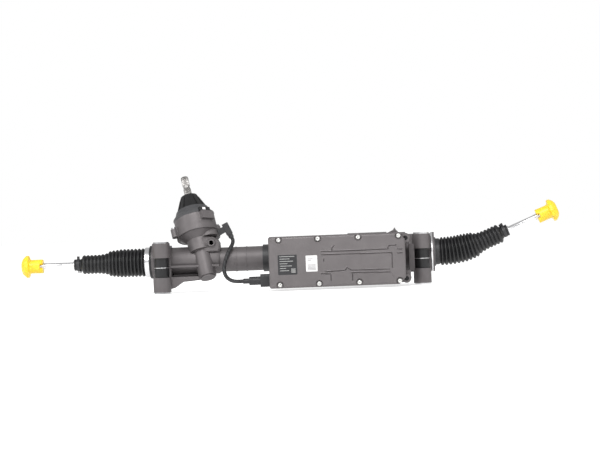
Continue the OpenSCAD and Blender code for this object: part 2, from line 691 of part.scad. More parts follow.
module torsion_bar() color(steel) in_pinion() translate([0, 0, 24.5]) cylinder(r = 2.6, h = input_top - 40);

module sensor_ring() color(black) in_pinion() translate([0, 0, sensor_z + 2])
  ring(20, 12 + seat_gap, 8);

module input_shaft() color(steel) in_pinion() difference() {
  union() {
    translate([0, 0, sensor_z + 14.5]) cylinder(r = 11, h = 4.5);
    translate([0, 0, sensor_z + 18]) cylinder(r = neck_shaft_r, h = boot_z + boot_h + 2 - sensor_z - 18);
    translate([0, 0, boot_z]) cylinder(r = input_r, h = input_top - boot_z - 1.5);
    translate([0, 0, input_top - 1.5]) cylinder(r1 = input_r, r2 = input_r - 1.5, h = 1.5);
  }
  translate([0, 0, sensor_z]) cylinder(r = 2.6 + run_gap, h = input_top - sensor_z - 15);
}

// Ball joints
module socket_solid() difference() {
  union() {
    translate([0, 0, -socket_back]) cylinder(r = socket_r, h = socket_back + socket_mouth);
    translate([0, 0, -socket_back - 20]) cylinder(r = stud_r, h = 21);
  }
  sphere(r = ball_r + seat_t + 2 * run_gap);
  cylinder(r1 = 0.01, r2 = 30 * tan(mouth_angle), h = 30);
}

module left_socket() color(steel) left_rod_frame() socket_solid();
module right_socket() color(steel) right_socket_frame() socket_solid();

module seat_solid() difference() {
  sphere(r = ball_r + seat_t + run_gap);
  sphere(r = ball_r + run_gap);
  cylinder(r1 = 0.01, r2 = 30 * tan(mouth_angle), h = 30);
}

module left_ball_seat() color([0.9, 0.88, 0.8]) left_rod_frame() seat_solid();
module right_ball_seat() color([0.9, 0.88, 0.8]) right_rod_frame() seat_solid();

module tie_rod_solid() {
  sphere(r = ball_r);
  cylinder(r = neck_r, h = neck_l + 2);
  translate([0, 0, neck_l]) cylinder(r1 = neck_r, r2 = shank_r + 1, h = 8);
  translate([0, 0, neck_l + 7]) cylinder(r = shank_r + 1, h = cuff_z - neck_l - 7);
  translate([0, 0, cuff_z - 1]) cylinder(r = cuff_r, h = cuff_l + 3);
  translate([0, 0, cuff_z + cuff_l]) cylinder(r = shank_r, h = rod_l - thread_l - cuff_z - cuff_l);
  translate([0, 0, rod_l - thread_l]) cylinder(r = rod_thread_d / 2, h = thread_l - 1);
  translate([0, 0, rod_l - 1]) cylinder(r1 = rod_thread_d / 2, r2 = rod_thread_d / 2 - 1, h = 1);
}

module left_tie_rod() color(steel) left_rod_frame() tie_rod_solid();
module right_tie_rod() color(steel) right_rod_frame() tie_rod_solid();

module small_clamp() translate([0, 0, cuff_z + 6]) {
  ring(cuff_r + 4.2, cuff_r + 3 + cuff_gap + run_gap, 7);
  translate([cuff_r + 4, -3, 1]) cube([6, 6, 5]);
}

module left_small_clamp() color(steel) left_rod_frame() small_clamp();
module right_small_clamp() color(steel) right_rod_frame() rotate([0, 0, 180]) small_clamp();

// Transport cap: a hub that grips the thread inside a flanged cup
module cap_solid() translate([0, 0, cap_z]) difference() {
  union() {
    cylinder(r = 15.5, h = cap_l - 12);
    translate([0, 0, cap_l - 18]) cylinder(r1 = 17, r2 = cap_flange_d / 2, h = 4);
    translate([0, 0, cap_l - 14]) cylinder(r = cap_flange_d / 2, h = 4);
    translate([0, 0, cap_l - 10]) cylinder(r1 = cap_flange_d / 2, r2 = cap_flange_d / 2 - 8, h = 10);
  }
  translate([0, 0, -1]) cylinder(r = 12.5, h = 21);
  translate([0, 0, -1]) cylinder(r = rod_thread_d / 2 + run_gap, h = rod_l + 1.5 - cap_z);
}

module left_cap() color(yellow) left_rod_frame() cap_solid();
module right_cap() color(yellow) right_rod_frame() cap_solid();

pinion_housing();
housing_sleeve();
drive_housing();
motor_case();
controller_cover();
cover_screws();
circuit_board();
left_mount_bushes();
left_mount_sleeves();
right_mount_bushes();
right_mount_sleeves();
sensor_housing();
sensor_screws();
tower_collar();
tower_boot();
input_bush();
torque_sensor();
upper_bearing();
lower_bearing();
bottom_plug();
yoke();
yoke_spring();
yoke_plug();
rack_bush();
nut_bearing();
drive_belt();
motor_stator();
motor_bearings();
sensor_connector();
sensor_cable();
controller_plug();
left_boot();
right_boot();
left_boot_clamp();
right_boot_clamp();
rack();
left_socket();
right_socket();
pinion();
torsion_bar();
sensor_ring();
input_shaft();
ball_nut();
nut_balls();
driven_pulley();
motor_rotor();
drive_pulley();
left_ball_seat();
left_tie_rod();
left_small_clamp();
left_cap();
right_ball_seat();
right_tie_rod();
right_small_clamp();
right_cap();
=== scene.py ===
"""A rack and pinion steering gear with a belt-driven power unit, dressed around its CAD frame."""
import math
import bmesh
import bpy
import numpy as np
from mathutils import Matrix, Vector


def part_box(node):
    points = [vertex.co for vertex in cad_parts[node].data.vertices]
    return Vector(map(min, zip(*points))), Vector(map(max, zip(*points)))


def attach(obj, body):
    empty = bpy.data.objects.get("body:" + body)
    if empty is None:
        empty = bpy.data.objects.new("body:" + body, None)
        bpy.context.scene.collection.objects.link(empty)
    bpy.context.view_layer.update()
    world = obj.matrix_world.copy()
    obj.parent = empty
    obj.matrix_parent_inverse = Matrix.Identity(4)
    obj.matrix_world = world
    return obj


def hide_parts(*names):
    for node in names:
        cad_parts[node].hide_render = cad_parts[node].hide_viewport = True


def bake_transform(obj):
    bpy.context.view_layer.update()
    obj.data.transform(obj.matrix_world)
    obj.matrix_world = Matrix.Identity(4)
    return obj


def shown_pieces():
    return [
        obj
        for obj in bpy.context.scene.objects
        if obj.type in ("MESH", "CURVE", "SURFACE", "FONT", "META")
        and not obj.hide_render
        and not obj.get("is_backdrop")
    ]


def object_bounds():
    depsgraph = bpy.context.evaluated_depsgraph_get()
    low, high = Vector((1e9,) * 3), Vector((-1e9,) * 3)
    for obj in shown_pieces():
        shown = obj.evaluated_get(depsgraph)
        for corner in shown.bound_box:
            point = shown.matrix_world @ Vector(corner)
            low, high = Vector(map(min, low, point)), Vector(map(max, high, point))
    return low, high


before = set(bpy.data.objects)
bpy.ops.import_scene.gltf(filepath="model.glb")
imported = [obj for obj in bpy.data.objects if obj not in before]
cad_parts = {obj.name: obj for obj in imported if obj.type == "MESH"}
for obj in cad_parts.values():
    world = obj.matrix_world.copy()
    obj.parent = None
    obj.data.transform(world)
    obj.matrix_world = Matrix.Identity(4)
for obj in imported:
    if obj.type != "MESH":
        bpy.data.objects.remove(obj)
cad_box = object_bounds()

# Camera: level with the gear, three degrees round to its right, and rolled so that the
# rack rises gently to the right. The gear's own frame starts midway between its bolts.
gear_middle = np.array([0.277, 0.044, 0.012])
picture_width = 1.2854
camera_distance = 5.0
camera_lift = math.radians(0.5)
camera_round = math.radians(3.13)
camera_roll = math.radians(2.25)
aim_right, aim_up = 0.01624, 0.0672
look = np.array([-math.sin(camera_round) * math.cos(camera_lift),
                 math.cos(camera_round) * math.cos(camera_lift), -math.sin(camera_lift)])
level = np.array([math.cos(camera_round), math.sin(camera_round), 0.0])
upright = np.cross(level, look)
image_x = level * math.cos(camera_roll) - upright * math.sin(camera_roll)
image_y = level * math.sin(camera_roll) + upright * math.cos(camera_roll)
aim = gear_middle + aim_right * image_x + aim_up * image_y
camera_data = bpy.data.cameras.new("camera")
camera_data.sensor_width = 36.0
camera_data.lens = camera_data.sensor_width * camera_distance / picture_width
camera_data.clip_end = 50.0
camera = bpy.data.objects.new("camera", camera_data)
turn = Matrix([image_x, image_y, -look]).transposed().to_4x4()
camera.matrix_world = Matrix.Translation(Vector(aim - look * camera_distance)) @ turn
bpy.context.scene.collection.objects.link(camera)
bpy.context.scene.camera = camera


# Sensor cable: a taped loom, 8 mm thick, that leaves the plug on the tower, passes in
# front of the rack tube and goes back into the plug on the power unit.
def gear_points(points):
    """Points of the gear's own frame in millimetres, moved into the row's frame in metres."""
    return (np.asarray(points, float) / 1000.0) + gear_middle


def new_piece(name, points, faces):
    """A mesh of points and faces. Doubles at poles and seams are merged and normals face out."""
    mesh = bpy.data.meshes.new(name)
    faces = faces.tolist() if isinstance(faces, np.ndarray) else faces
    mesh.from_pydata(np.asarray(points).tolist(), [], faces)
    edit = bmesh.new()
    edit.from_mesh(mesh)
    bmesh.ops.remove_doubles(edit, verts=edit.verts, dist=2e-6)
    bmesh.ops.dissolve_degenerate(edit, edges=edit.edges, dist=1e-7)
    bmesh.ops.recalc_face_normals(edit, faces=edit.faces)
    edit.to_mesh(mesh)
    edit.free()
    mesh.shade_smooth()
    piece = bpy.data.objects.new(name, mesh)
    bpy.context.scene.collection.objects.link(piece)
    return piece


def grid_faces(rows, columns, round_rows=False, round_columns=True):
    """Quads of a grid whose last row or column may join its first one."""
    i = np.arange(rows if round_rows else rows - 1)
    j = np.arange(columns if round_columns else columns - 1)
    i, j = [a.ravel() for a in np.meshgrid(i, j, indexing="ij")]
    down, right = (i + 1) % rows, (j + 1) % columns
    return np.stack([i * columns + j, i * columns + right, down * columns + right, down * columns + j], 1)


def frame_along(direction):
    """A unit direction and two unit vectors square to it, the first as near Y, or else Z, as can be."""
    d = np.asarray(direction, float) / np.linalg.norm(direction)
    side = (0.0, 0.0, 1.0) if abs(d[1]) > 0.9 else (0.0, 1.0, 0.0)
    a = np.asarray(side, float) - np.dot(side, d) * d
    a = a / np.linalg.norm(a)
    return d, a, np.cross(d, a)


def node_material(name):
    """An empty material with its node tree, its shader and its output."""
    material = bpy.data.materials.new(name)
    material.use_nodes = True
    tree = material.node_tree
    tree.nodes.clear()
    out = tree.nodes.new("ShaderNodeOutputMaterial")
    shader = tree.nodes.new("ShaderNodeBsdfPrincipled")
    tree.links.new(shader.outputs[0], out.inputs[0])
    return material, tree, shader


def noise(tree, where, scale, detail=4.0, roughness=0.6):
    """A noise texture of that many cells a metre."""
    texture = tree.nodes.new("ShaderNodeTexNoise")
    texture.inputs["Scale"].default_value = scale
    texture.inputs["Detail"].default_value = detail
    texture.inputs["Roughness"].default_value = roughness
    tree.links.new(where, texture.inputs["Vector"])
    return texture.outputs["Fac"]


def ramp(tree, value, stops):
    """A colour ramp: stops are (place, (r, g, b)) pairs."""
    node = tree.nodes.new("ShaderNodeValToRGB")
    while len(node.color_ramp.elements) < len(stops):
        node.color_ramp.elements.new(0.5)
    for element, (place, colour) in zip(node.color_ramp.elements, stops):
        element.position = place
        element.color = (*colour, 1.0)
    tree.links.new(value, node.inputs["Fac"])
    return node.outputs["Color"]


def bumps(tree, shader, layers):
    """Bump layers in a row: each is (height, strength, distance in metres)."""
    normal = None
    for height, strength, distance in layers:
        bump = tree.nodes.new("ShaderNodeBump")
        bump.inputs["Strength"].default_value = strength
        bump.inputs["Distance"].default_value = distance
        tree.links.new(height, bump.inputs["Height"])
        if normal is not None:
            tree.links.new(normal, bump.inputs["Normal"])
        normal = bump.outputs["Normal"]
    tree.links.new(normal, shader.inputs["Normal"])


cable_route = gear_points([
    [-130, -6, 50], [-126, -6, 41], [-127, -12, 32], [-131, -24, 24], [-136, -34, 12],
    [-141, -38, -2], [-144, -40, -16], [-143, -44, -28], [-137, -52, -38], [-127, -61, -44],
    [-116, -68, -46], [-105, -70, -46], [-96, -70, -46]])
cable_radius = 0.004
cable_sides = 20
steps_between_points = 8


def smooth_route(route, steps):
    """A Catmull-Rom curve: each stretch is a cubic whose ends head along their neighbours' chord."""
    p = np.concatenate([[2 * route[0] - route[1]], route, [2 * route[-1] - route[-2]]])
    t = np.linspace(0, 1, steps, endpoint=False)[:, None]
    pieces = [0.5 * (2 * b + (c - a) * t + (2 * a - 5 * b + 4 * c - d) * t ** 2
                     + (3 * b - a - 3 * c + d) * t ** 3)
              for a, b, c, d in zip(p[:-3], p[1:-2], p[2:-1], p[3:])]
    return np.concatenate(pieces + [route[-1:]])


def tube_along(path, radius, sides):
    """Rings square to a path, carried along it without twist, with its ends closed to a point."""
    heading = np.gradient(path, axis=0)
    heading /= np.linalg.norm(heading, axis=1)[:, None]
    across = np.zeros_like(path)
    across[0] = frame_along(heading[0])[1]
    for i in range(1, len(path)):
        a = across[i - 1] - np.dot(across[i - 1], heading[i]) * heading[i]
        across[i] = a / np.linalg.norm(a)
    over = np.cross(heading, across)
    t = np.linspace(0, 2 * math.pi, sides, endpoint=False)
    rings = (path[:, None] + radius * (np.cos(t)[None, :, None] * across[:, None]
                                       + np.sin(t)[None, :, None] * over[:, None]))
    ends = [np.repeat(path[:1], sides, 0)[None], rings, np.repeat(path[-1:], sides, 0)[None]]
    return np.concatenate(ends).reshape(-1, 3), grid_faces(len(path) + 2, sides)


cable_path = smooth_route(cable_route, steps_between_points)
cable = new_piece("cable_loom", *tube_along(cable_path, cable_radius, cable_sides))
tape, tree, shader = node_material("loom_tape")
where = tree.nodes.new("ShaderNodeTexCoord").outputs["Object"]
wrap = tree.nodes.new("ShaderNodeTexWave")
wrap.wave_type = "BANDS"
wrap.bands_direction = "DIAGONAL"
wrap.inputs["Scale"].default_value = 42.0
wrap.inputs["Distortion"].default_value = 1.5
tree.links.new(where, wrap.inputs["Vector"])
tree.links.new(ramp(tree, wrap.outputs["Fac"], [(0.2, (0.012, 0.012, 0.013)), (0.8, (0.03, 0.03, 0.032))]),
               shader.inputs["Base Color"])
shader.inputs["Roughness"].default_value = 0.6
bumps(tree, shader, [(wrap.outputs["Fac"], 0.6, 0.0006), (noise(tree, where, 1800), 0.4, 0.0002)])
cable.data.materials.append(tape)
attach(cable, "gear_case")
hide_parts("sensor_cable")


# Studio: a white floor just under the gear that glows for the camera and in reflections, a
# world that is white to the camera and dimmer as a light, one large soft lamp above the
# front and two weaker ones at the sides.
floor_gap, floor_half = 0.001, 9.0
floor_glow, world_light = 0.62, 0.55
floor_z = cad_box[0].z - floor_gap
floor_corners = [(x * floor_half, y * floor_half, floor_z)
                 for x, y in [(-1, -1), (1, -1), (1, 1), (-1, 1)]]
floor = bpy.data.objects.new("floor", bpy.data.meshes.new("floor"))
floor.data.from_pydata(floor_corners, [], [(0, 1, 2, 3)])
bpy.context.scene.collection.objects.link(floor)
white_floor, tree, shader = node_material("white_floor")
shader.inputs["Base Color"].default_value = (0.9, 0.9, 0.9, 1.0)
shader.inputs["Roughness"].default_value = 0.9
shader.inputs["Emission Color"].default_value = (1.0, 1.0, 1.0, 1.0)
rays = tree.nodes.new("ShaderNodeLightPath")
seen = tree.nodes.new("ShaderNodeMath")
seen.operation = "MAXIMUM"
tree.links.new(rays.outputs["Is Camera Ray"], seen.inputs[0])
tree.links.new(rays.outputs["Is Glossy Ray"], seen.inputs[1])
glow = tree.nodes.new("ShaderNodeMath")
glow.operation = "MULTIPLY"
glow.inputs[1].default_value = floor_glow
tree.links.new(seen.outputs[0], glow.inputs[0])
tree.links.new(glow.outputs[0], shader.inputs["Emission Strength"])
floor.data.materials.append(white_floor)
floor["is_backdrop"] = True

world = bpy.data.worlds.new("studio")
bpy.context.scene.world = world
world.use_nodes = True
tree = world.node_tree
background = tree.nodes["Background"]
background.inputs["Color"].default_value = (1.0, 1.0, 1.0, 1.0)
rays = tree.nodes.new("ShaderNodeLightPath")
seen = tree.nodes.new("ShaderNodeMath")
seen.operation = "MAXIMUM"
tree.links.new(rays.outputs["Is Camera Ray"], seen.inputs[0])
tree.links.new(rays.outputs["Is Transmission Ray"], seen.inputs[1])
level_node = tree.nodes.new("ShaderNodeMapRange")
level_node.inputs["To Min"].default_value = world_light
level_node.inputs["To Max"].default_value = 1.0
tree.links.new(seen.outputs[0], level_node.inputs["Value"])
tree.links.new(level_node.outputs["Result"], background.inputs["Strength"])
bpy.context.scene.view_settings.view_transform = "Standard"


def soft_lamp(name, place, size, watts):
    """A rectangular area lamp that points at the middle of the gear."""
    data = bpy.data.lights.new(name, "AREA")
    data.shape = "RECTANGLE"
    data.size, data.size_y = size
    data.energy = watts
    lamp = bpy.data.objects.new(name, data)
    toward = Vector(gear_middle) - Vector(place)
    lamp.matrix_world = Matrix.Translation(place) @ toward.to_track_quat("-Z", "Y").to_matrix().to_4x4()
    bpy.context.scene.collection.objects.link(lamp)


soft_lamp("lamp_front", (0.1, -1.9, 1.7), (1.6, 1.2), 42)
soft_lamp("lamp_left", (-1.6, -1.0, 0.8), (1.0, 1.0), 12)
soft_lamp("lamp_right", (2.2, -0.9, 0.9), (1.0, 1.0), 12)


# Castings: die-cast aluminium, blasted and left bare, in a warm mid grey. The surface is
# finely pebbled, a little darker in patches, and unevenly dull.
def spread(tree, value, low, high):
    """A value from 0 to 1 carried to the range from low to high."""
    node = tree.nodes.new("ShaderNodeMapRange")
    node.inputs["To Min"].default_value = low
    node.inputs["To Max"].default_value = high
    tree.links.new(value, node.inputs["Value"])
    return node.outputs["Result"]


def casting(name, dark, light):
    """Bare cast aluminium: two tones in clouds, a pebbled skin and a few shallow dents."""
    material, tree, shader = node_material(name)
    where = tree.nodes.new("ShaderNodeTexCoord").outputs["Object"]
    clouds = noise(tree, where, 22.0, 6.0)
    pebbles = noise(tree, where, 1100.0, 3.0, 0.55)
    dents = noise(tree, where, 160.0, 3.0, 0.5)
    tree.links.new(ramp(tree, clouds, [(0.3, dark), (0.7, light)]), shader.inputs["Base Color"])
    tree.links.new(spread(tree, dents, 0.42, 0.62), shader.inputs["Roughness"])
    shader.inputs["Metallic"].default_value = 0.45
    bumps(tree, shader, [(dents, 0.25, 0.0004), (pebbles, 0.45, 0.00012)])
    return material


cast_metal = casting("cast_metal", (0.118, 0.108, 0.110), (0.150, 0.138, 0.140))
cover_metal = casting("cover_metal", (0.135, 0.124, 0.126), (0.165, 0.152, 0.154))


# Machined and plated steel: turned or ground bars and pressed sleeves, bright where plated,
# with the fine directional grain that a lathe leaves.
lathe_grain = 700.0


def bright_metal(name, tone, roughness):
    """Steel: faint stains change its tone and its roughness, and its bump is fine bands across X."""
    material, tree, shader = node_material(name)
    where = tree.nodes.new("ShaderNodeTexCoord").outputs["Object"]
    bands = tree.nodes.new("ShaderNodeTexWave")
    bands.inputs["Scale"].default_value = lathe_grain
    bands.inputs["Distortion"].default_value = 2.0
    bands.inputs["Detail"].default_value = 2.0
    tree.links.new(where, bands.inputs["Vector"])
    stain = noise(tree, where, 60.0, 4.0)
    low = tuple(0.88 * c for c in tone)
    tree.links.new(ramp(tree, stain, [(0.35, low), (0.65, tone)]), shader.inputs["Base Color"])
    tree.links.new(spread(tree, stain, roughness - 0.05, roughness + 0.08), shader.inputs["Roughness"])
    shader.inputs["Metallic"].default_value = 1.0
    bumps(tree, shader, [(bands.outputs["Fac"], 0.12, 0.00005)])
    return material


plated = bright_metal("plated_steel", (0.78, 0.78, 0.79), 0.28)
ground_steel = bright_metal("ground_steel", (0.36, 0.35, 0.34), 0.36)
dull_steel = bright_metal("dull_steel", (0.42, 0.42, 0.43), 0.38)


# Rubber, nylon and the rest: moulded black rubber, black and grey nylon, yellow cap plastic,
# and the wound copper, green board and ivory nylon seats that lie inside.
def finish_material(name, dark, light, roughness, metallic=0.0, drift=18.0, grain=900.0,
                    grain_depth=0.00012, grain_strength=0.35):
    """Colour drifts between two tones, roughness drifts five times as fast, and a fine grain
    stands on top."""
    material, tree, shader = node_material(name)
    where = tree.nodes.new("ShaderNodeTexCoord").outputs["Object"]
    patches = noise(tree, where, drift)
    fine = noise(tree, where, grain, 2.0)
    tree.links.new(ramp(tree, patches, [(0.3, dark), (0.7, light)]), shader.inputs["Base Color"])
    tree.links.new(spread(tree, noise(tree, where, drift * 5), roughness[0], roughness[1]),
                   shader.inputs["Roughness"])
    shader.inputs["Metallic"].default_value = metallic
    bumps(tree, shader, [(fine, grain_strength, grain_depth)])
    return material


rubber = finish_material("moulded_rubber", (0.0025, 0.0025, 0.003), (0.005, 0.005, 0.006), (0.4, 0.52),
                         drift=35.0, grain=1500.0, grain_depth=0.0001, grain_strength=0.4)
black_plastic = finish_material("black_nylon", (0.018, 0.018, 0.02), (0.028, 0.028, 0.03), (0.4, 0.52),
                                drift=30.0, grain=2200.0, grain_depth=0.00006)
grey_plastic = finish_material("grey_collar_nylon", (0.045, 0.045, 0.048), (0.06, 0.06, 0.064),
                               (0.4, 0.5), drift=30.0, grain=2200.0, grain_depth=0.00006)
copper = finish_material("wound_copper", (0.45, 0.2, 0.1), (0.6, 0.3, 0.16), (0.3, 0.45), 0.9, grain=600.0)
green_board = finish_material("circuit_board_green", (0.01, 0.09, 0.04), (0.02, 0.14, 0.06), (0.3, 0.4),
                              drift=120.0, grain=500.0)
ivory = finish_material("seat_nylon", (0.7, 0.66, 0.55), (0.8, 0.76, 0.66), (0.35, 0.45))
yellow_plastic, tree, shader = node_material("yellow_cap_plastic")
where = tree.nodes.new("ShaderNodeTexCoord").outputs["Object"]
tree.links.new(ramp(tree, noise(tree, where, 40.0), [(0.3, (0.95, 0.66, 0.03)), (0.7, (0.96, 0.69, 0.035))]),
               shader.inputs["Base Color"])
tree.links.new(spread(tree, noise(tree, where, 150.0), 0.3, 0.42), shader.inputs["Roughness"])
shader.inputs["Subsurface Weight"].default_value = 0.15
shader.inputs["Subsurface Radius"].default_value = (0.004, 0.002, 0.0005)
bumps(tree, shader, [(noise(tree, where, 900.0), 0.2, 0.00008)])


# Solids: every node of the frame takes one of the finishes above. That includes the inner
# ones and those that a finer mesh replaces further down.
node_finish = {
    cast_metal: ["pinion_housing", "drive_housing", "motor_case", "sensor_housing", "bottom_plug"],
    cover_metal: ["controller_cover"],
    plated: ["right_mount_sleeves", "left_boot_clamp", "rack", "nut_balls",
             "cover_screws", "input_shaft", "left_tie_rod", "right_tie_rod"],
    dull_steel: ["sensor_screws", "input_bush", "upper_bearing", "lower_bearing", "yoke",
                 "yoke_spring", "yoke_plug", "nut_bearing", "motor_bearings", "left_socket",
                 "right_socket", "pinion", "torsion_bar", "ball_nut", "driven_pulley", "motor_rotor",
                 "drive_pulley", "left_mount_sleeves"],
    rubber: ["left_mount_bushes", "right_mount_bushes", "tower_boot", "drive_belt", "sensor_cable",
             "left_boot", "right_boot"],
    black_plastic: ["sensor_connector", "controller_plug", "housing_sleeve", "rack_bush", "sensor_ring",
                    "left_small_clamp", "right_small_clamp", "right_boot_clamp"],
    grey_plastic: ["tower_collar"],
    copper: ["motor_stator"],
    green_board: ["circuit_board", "torque_sensor"],
    ivory: ["left_ball_seat", "right_ball_seat"],
    yellow_plastic: ["left_cap", "right_cap"]}
for material, nodes in node_finish.items():
    for node in nodes:
        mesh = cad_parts[node].data
        mesh.materials.clear()
        mesh.materials.append(material)


# Bellows: moulded rubber with round pleats, wide at the gear and narrow at the tie rod.
# Each is clamped on the housing's nose and on the rod's collar, and is built as a root and a
# sleeve that overlap at their joint.
ball_from_middle = 362.0
cuff_start = 90.0
cuff_length = 18.0
wide_radius, narrow_radius = 30.5, 20.5
pleat_count = 17
pleats_end = 90.0
wide_pleat_depth, narrow_pleat_depth = 5.0, 3.2
boot_wall = 1.1
nose_length = 12.0
joint_overlap = 12.0
rows_per_pleat = 12
pleat_roundness = 0.75
boot_sides = 72
taper_reach, shoulder_reach, last_reach = (6.0, 28.0), (27.0, 41.0), (40.0, 55.0)
depth_reach = (15.0, 45.0)
taper_drop, shoulder_drop = 2.6, 5.6
last_drop = wide_radius - taper_drop - shoulder_drop - narrow_radius
root_end = 4.0
sleeve_shrink = 0.5
right_rod_rise = math.radians(22.0)


def crest_radius(s):
    """The pleats' outer radius: the wide radius, less a slight taper past the ball, less a shoulder
    that falls as a smooth step, less a last straight taper to the narrow radius."""
    taper, shoulder, last = [np.clip((s - low) / (high - low), 0.0, 1.0)
                             for low, high in (taper_reach, shoulder_reach, last_reach)]
    return (wide_radius - taper_drop * taper - shoulder_drop * shoulder * shoulder * (3 - 2 * shoulder)
            - last_drop * last)


def boot_profile(start, nose_radius, first, last):
    """Outer radius along a bellows between two stations, as (station, radius) rows.
    A pleat's radius falls from its crest by the pleat's depth times 1 - |sin| ** roundness."""
    pitch = (pleats_end - start) / pleat_count
    s = np.linspace(start, pleats_end, pleat_count * rows_per_pleat + 1)
    wave = np.abs(np.sin(math.pi * (s - start) / pitch)) ** pleat_roundness
    depth = np.interp(s, depth_reach, [wide_pleat_depth, narrow_pleat_depth])
    pleats = np.stack([s, crest_radius(s) - depth * (1 - wave)], 1)
    cuff = np.array([[start - nose_length, nose_radius + 2.6],
                     [start - nose_length + 0.6, nose_radius + 3.2],
                     [start - 1.2, nose_radius + 3.2]])
    tip = np.array([[cuff_start + 1.2, 14.4], [cuff_start + 2.6, 12.8], [cuff_start + 4.0, 12.3],
                    [cuff_start + 4.6, 11.7], [cuff_start + 14.4, 11.7],
                    [cuff_start + 15.0, 12.3], [cuff_start + cuff_length - 0.6, 12.3],
                    [cuff_start + cuff_length, 11.7]])
    rows = np.concatenate([cuff, pleats, tip])
    return rows[(rows[:, 0] >= first) & (rows[:, 0] <= last)]


def boot_shell(name, side, rise, start, nose_radius, first, last, shrink=0.0):
    """A closed shell: the outer profile out, and the same profile one wall smaller back.
    Its rings follow an arc from the nose to the same distance past the ball, then a line.
    Where it lies inside the other shell, its outer radius is smaller by shrink."""
    outer = boot_profile(start, nose_radius, first, last)
    outer[:, 1] -= np.where(outer[:, 0] < root_end, shrink, 0.0)
    inner = outer[::-1] - np.array([0.0, boot_wall])
    rows = np.concatenate([outer, inner])
    s, r = rows[:, 0], rows[:, 1]
    reach = -start
    angle = rise * np.clip((s + reach) / (2 * reach), 0.0, 1.0)
    if rise:
        bend = reach / math.tan(rise / 2)
        past = np.maximum(s - reach, 0.0)
        x = np.where(s <= -reach, s, -reach + bend * np.sin(angle) + past * np.cos(angle))
        z = np.where(s <= -reach, 0.0, bend * (1 - np.cos(angle)) + past * np.sin(angle))
    else:
        x, z = s, np.zeros_like(s)
    t = np.linspace(0, 2 * math.pi, boot_sides, endpoint=False)
    px = x[:, None] - r[:, None] * np.sin(t) * np.sin(angle)[:, None]
    py = r[:, None] * np.cos(t)
    pz = z[:, None] + r[:, None] * np.sin(t) * np.cos(angle)[:, None]
    points = np.stack([side * (ball_from_middle + px), py, pz], 2).reshape(-1, 3)
    piece = new_piece(name, gear_points(points), grid_faces(len(rows), boot_sides, round_rows=True))
    piece.data.materials.append(rubber)
    return piece


for word, side, rise, start, nose_radius in [("left", -1, 0.0, -45.0, 27.8),
                                             ("right", 1, right_rod_rise, -46.0, 23.8)]:
    root = boot_shell(word + "_bellows_root", side, rise, start, nose_radius, start - nose_length,
                      root_end)
    sleeve = boot_shell(word + "_bellows_sleeve", side, rise, start, nose_radius, -joint_overlap,
                        cuff_start + cuff_length, shrink=sleeve_shrink)
    along = np.array([side * math.cos(rise), 0.0, math.sin(rise)])
    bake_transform(root)
    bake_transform(sleeve)
    for piece in (root, sleeve):
        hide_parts(word + "_boot")


# Tie rods: turned steel with a ball, a thin neck, a collar for the bellows and a rolled
# M14 x 1.5 thread under the cap.
def turned(origin, direction, stations, radii, sides):
    """Rings round a line: point = origin + station * direction + radius * (cos t, sin t) square to it.
    Stations and radii may each hold one number for a ring, or one for each of its angles."""
    d, a, b = frame_along(direction)
    t = np.linspace(0, 2 * math.pi, sides, endpoint=False)
    s, r = [np.asarray(v, float) for v in (stations, radii)]
    s, r = [np.broadcast_to(v[:, None] if v.ndim == 1 else v, (len(v), sides))[:, :, None] for v in (s, r)]
    round_point = np.cos(t)[None, :, None] * a + np.sin(t)[None, :, None] * b
    return (np.asarray(origin, float) + s * d + r * round_point).reshape(-1, 3)


rod_length = 215.0
neck_radius, tip_radius, tip_bevel = 6.2, 5.9, 0.3
thread_pitch, thread_top, thread_depth = 1.5, 7.0, 0.85
thread_start, thread_end, thread_run_out = 168.6, rod_length - 0.6, 1.5
rows_per_turn = 8
rod_outline = np.array([
    [-12.0, 0.0], [-11.6, 3.07], [-10.4, 5.99], [-8.5, 8.47], [-6.0, 10.39], [-3.1, 11.59], [0.0, 12.0],
    [3.1, 11.59], [6.0, 10.39], [8.5, 8.47], [10.66, 5.5], [48.0, 5.5], [56.0, 7.2], [89.5, 7.2],
    [90.0, 8.5], [109.4, 8.5], [110.0, 8.0], [112.0, 6.2], [168.0, 6.2]])
rod_sides = 40
turn_angle = np.linspace(0, 2 * math.pi, rod_sides, endpoint=False)
thread_s = np.arange(thread_start, thread_end, thread_pitch / rows_per_turn)
phase = (thread_s[:, None] / thread_pitch - turn_angle[None, :] / (2 * math.pi)) % 1.0
thread_r = thread_top - thread_depth * np.abs(2 * phase - 1)
fade = np.clip((thread_end - thread_s) / thread_run_out, 0, 1)[:, None]
thread_r = np.minimum(thread_r, neck_radius + (thread_top - neck_radius) * fade)
stations = np.concatenate([rod_outline[:, 0], thread_s, [rod_length - tip_bevel, rod_length]])
radii = np.concatenate([np.repeat(rod_outline[:, 1:], rod_sides, 1), thread_r,
                        np.full((1, rod_sides), tip_radius), np.zeros((1, rod_sides))])
for word, side, rise in [("left", -1, 0.0), ("right", 1, right_rod_rise)]:
    along = (side * math.cos(rise), 0.0, math.sin(rise))
    points = turned((side * ball_from_middle, 0, 0), along, stations, radii, rod_sides)
    rod = new_piece(word + "_rod_threaded", gear_points(points), grid_faces(len(stations), rod_sides))
    rod.data.materials.append(plated)
    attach(rod, word + "_rod")
    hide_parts(word + "_tie_rod")


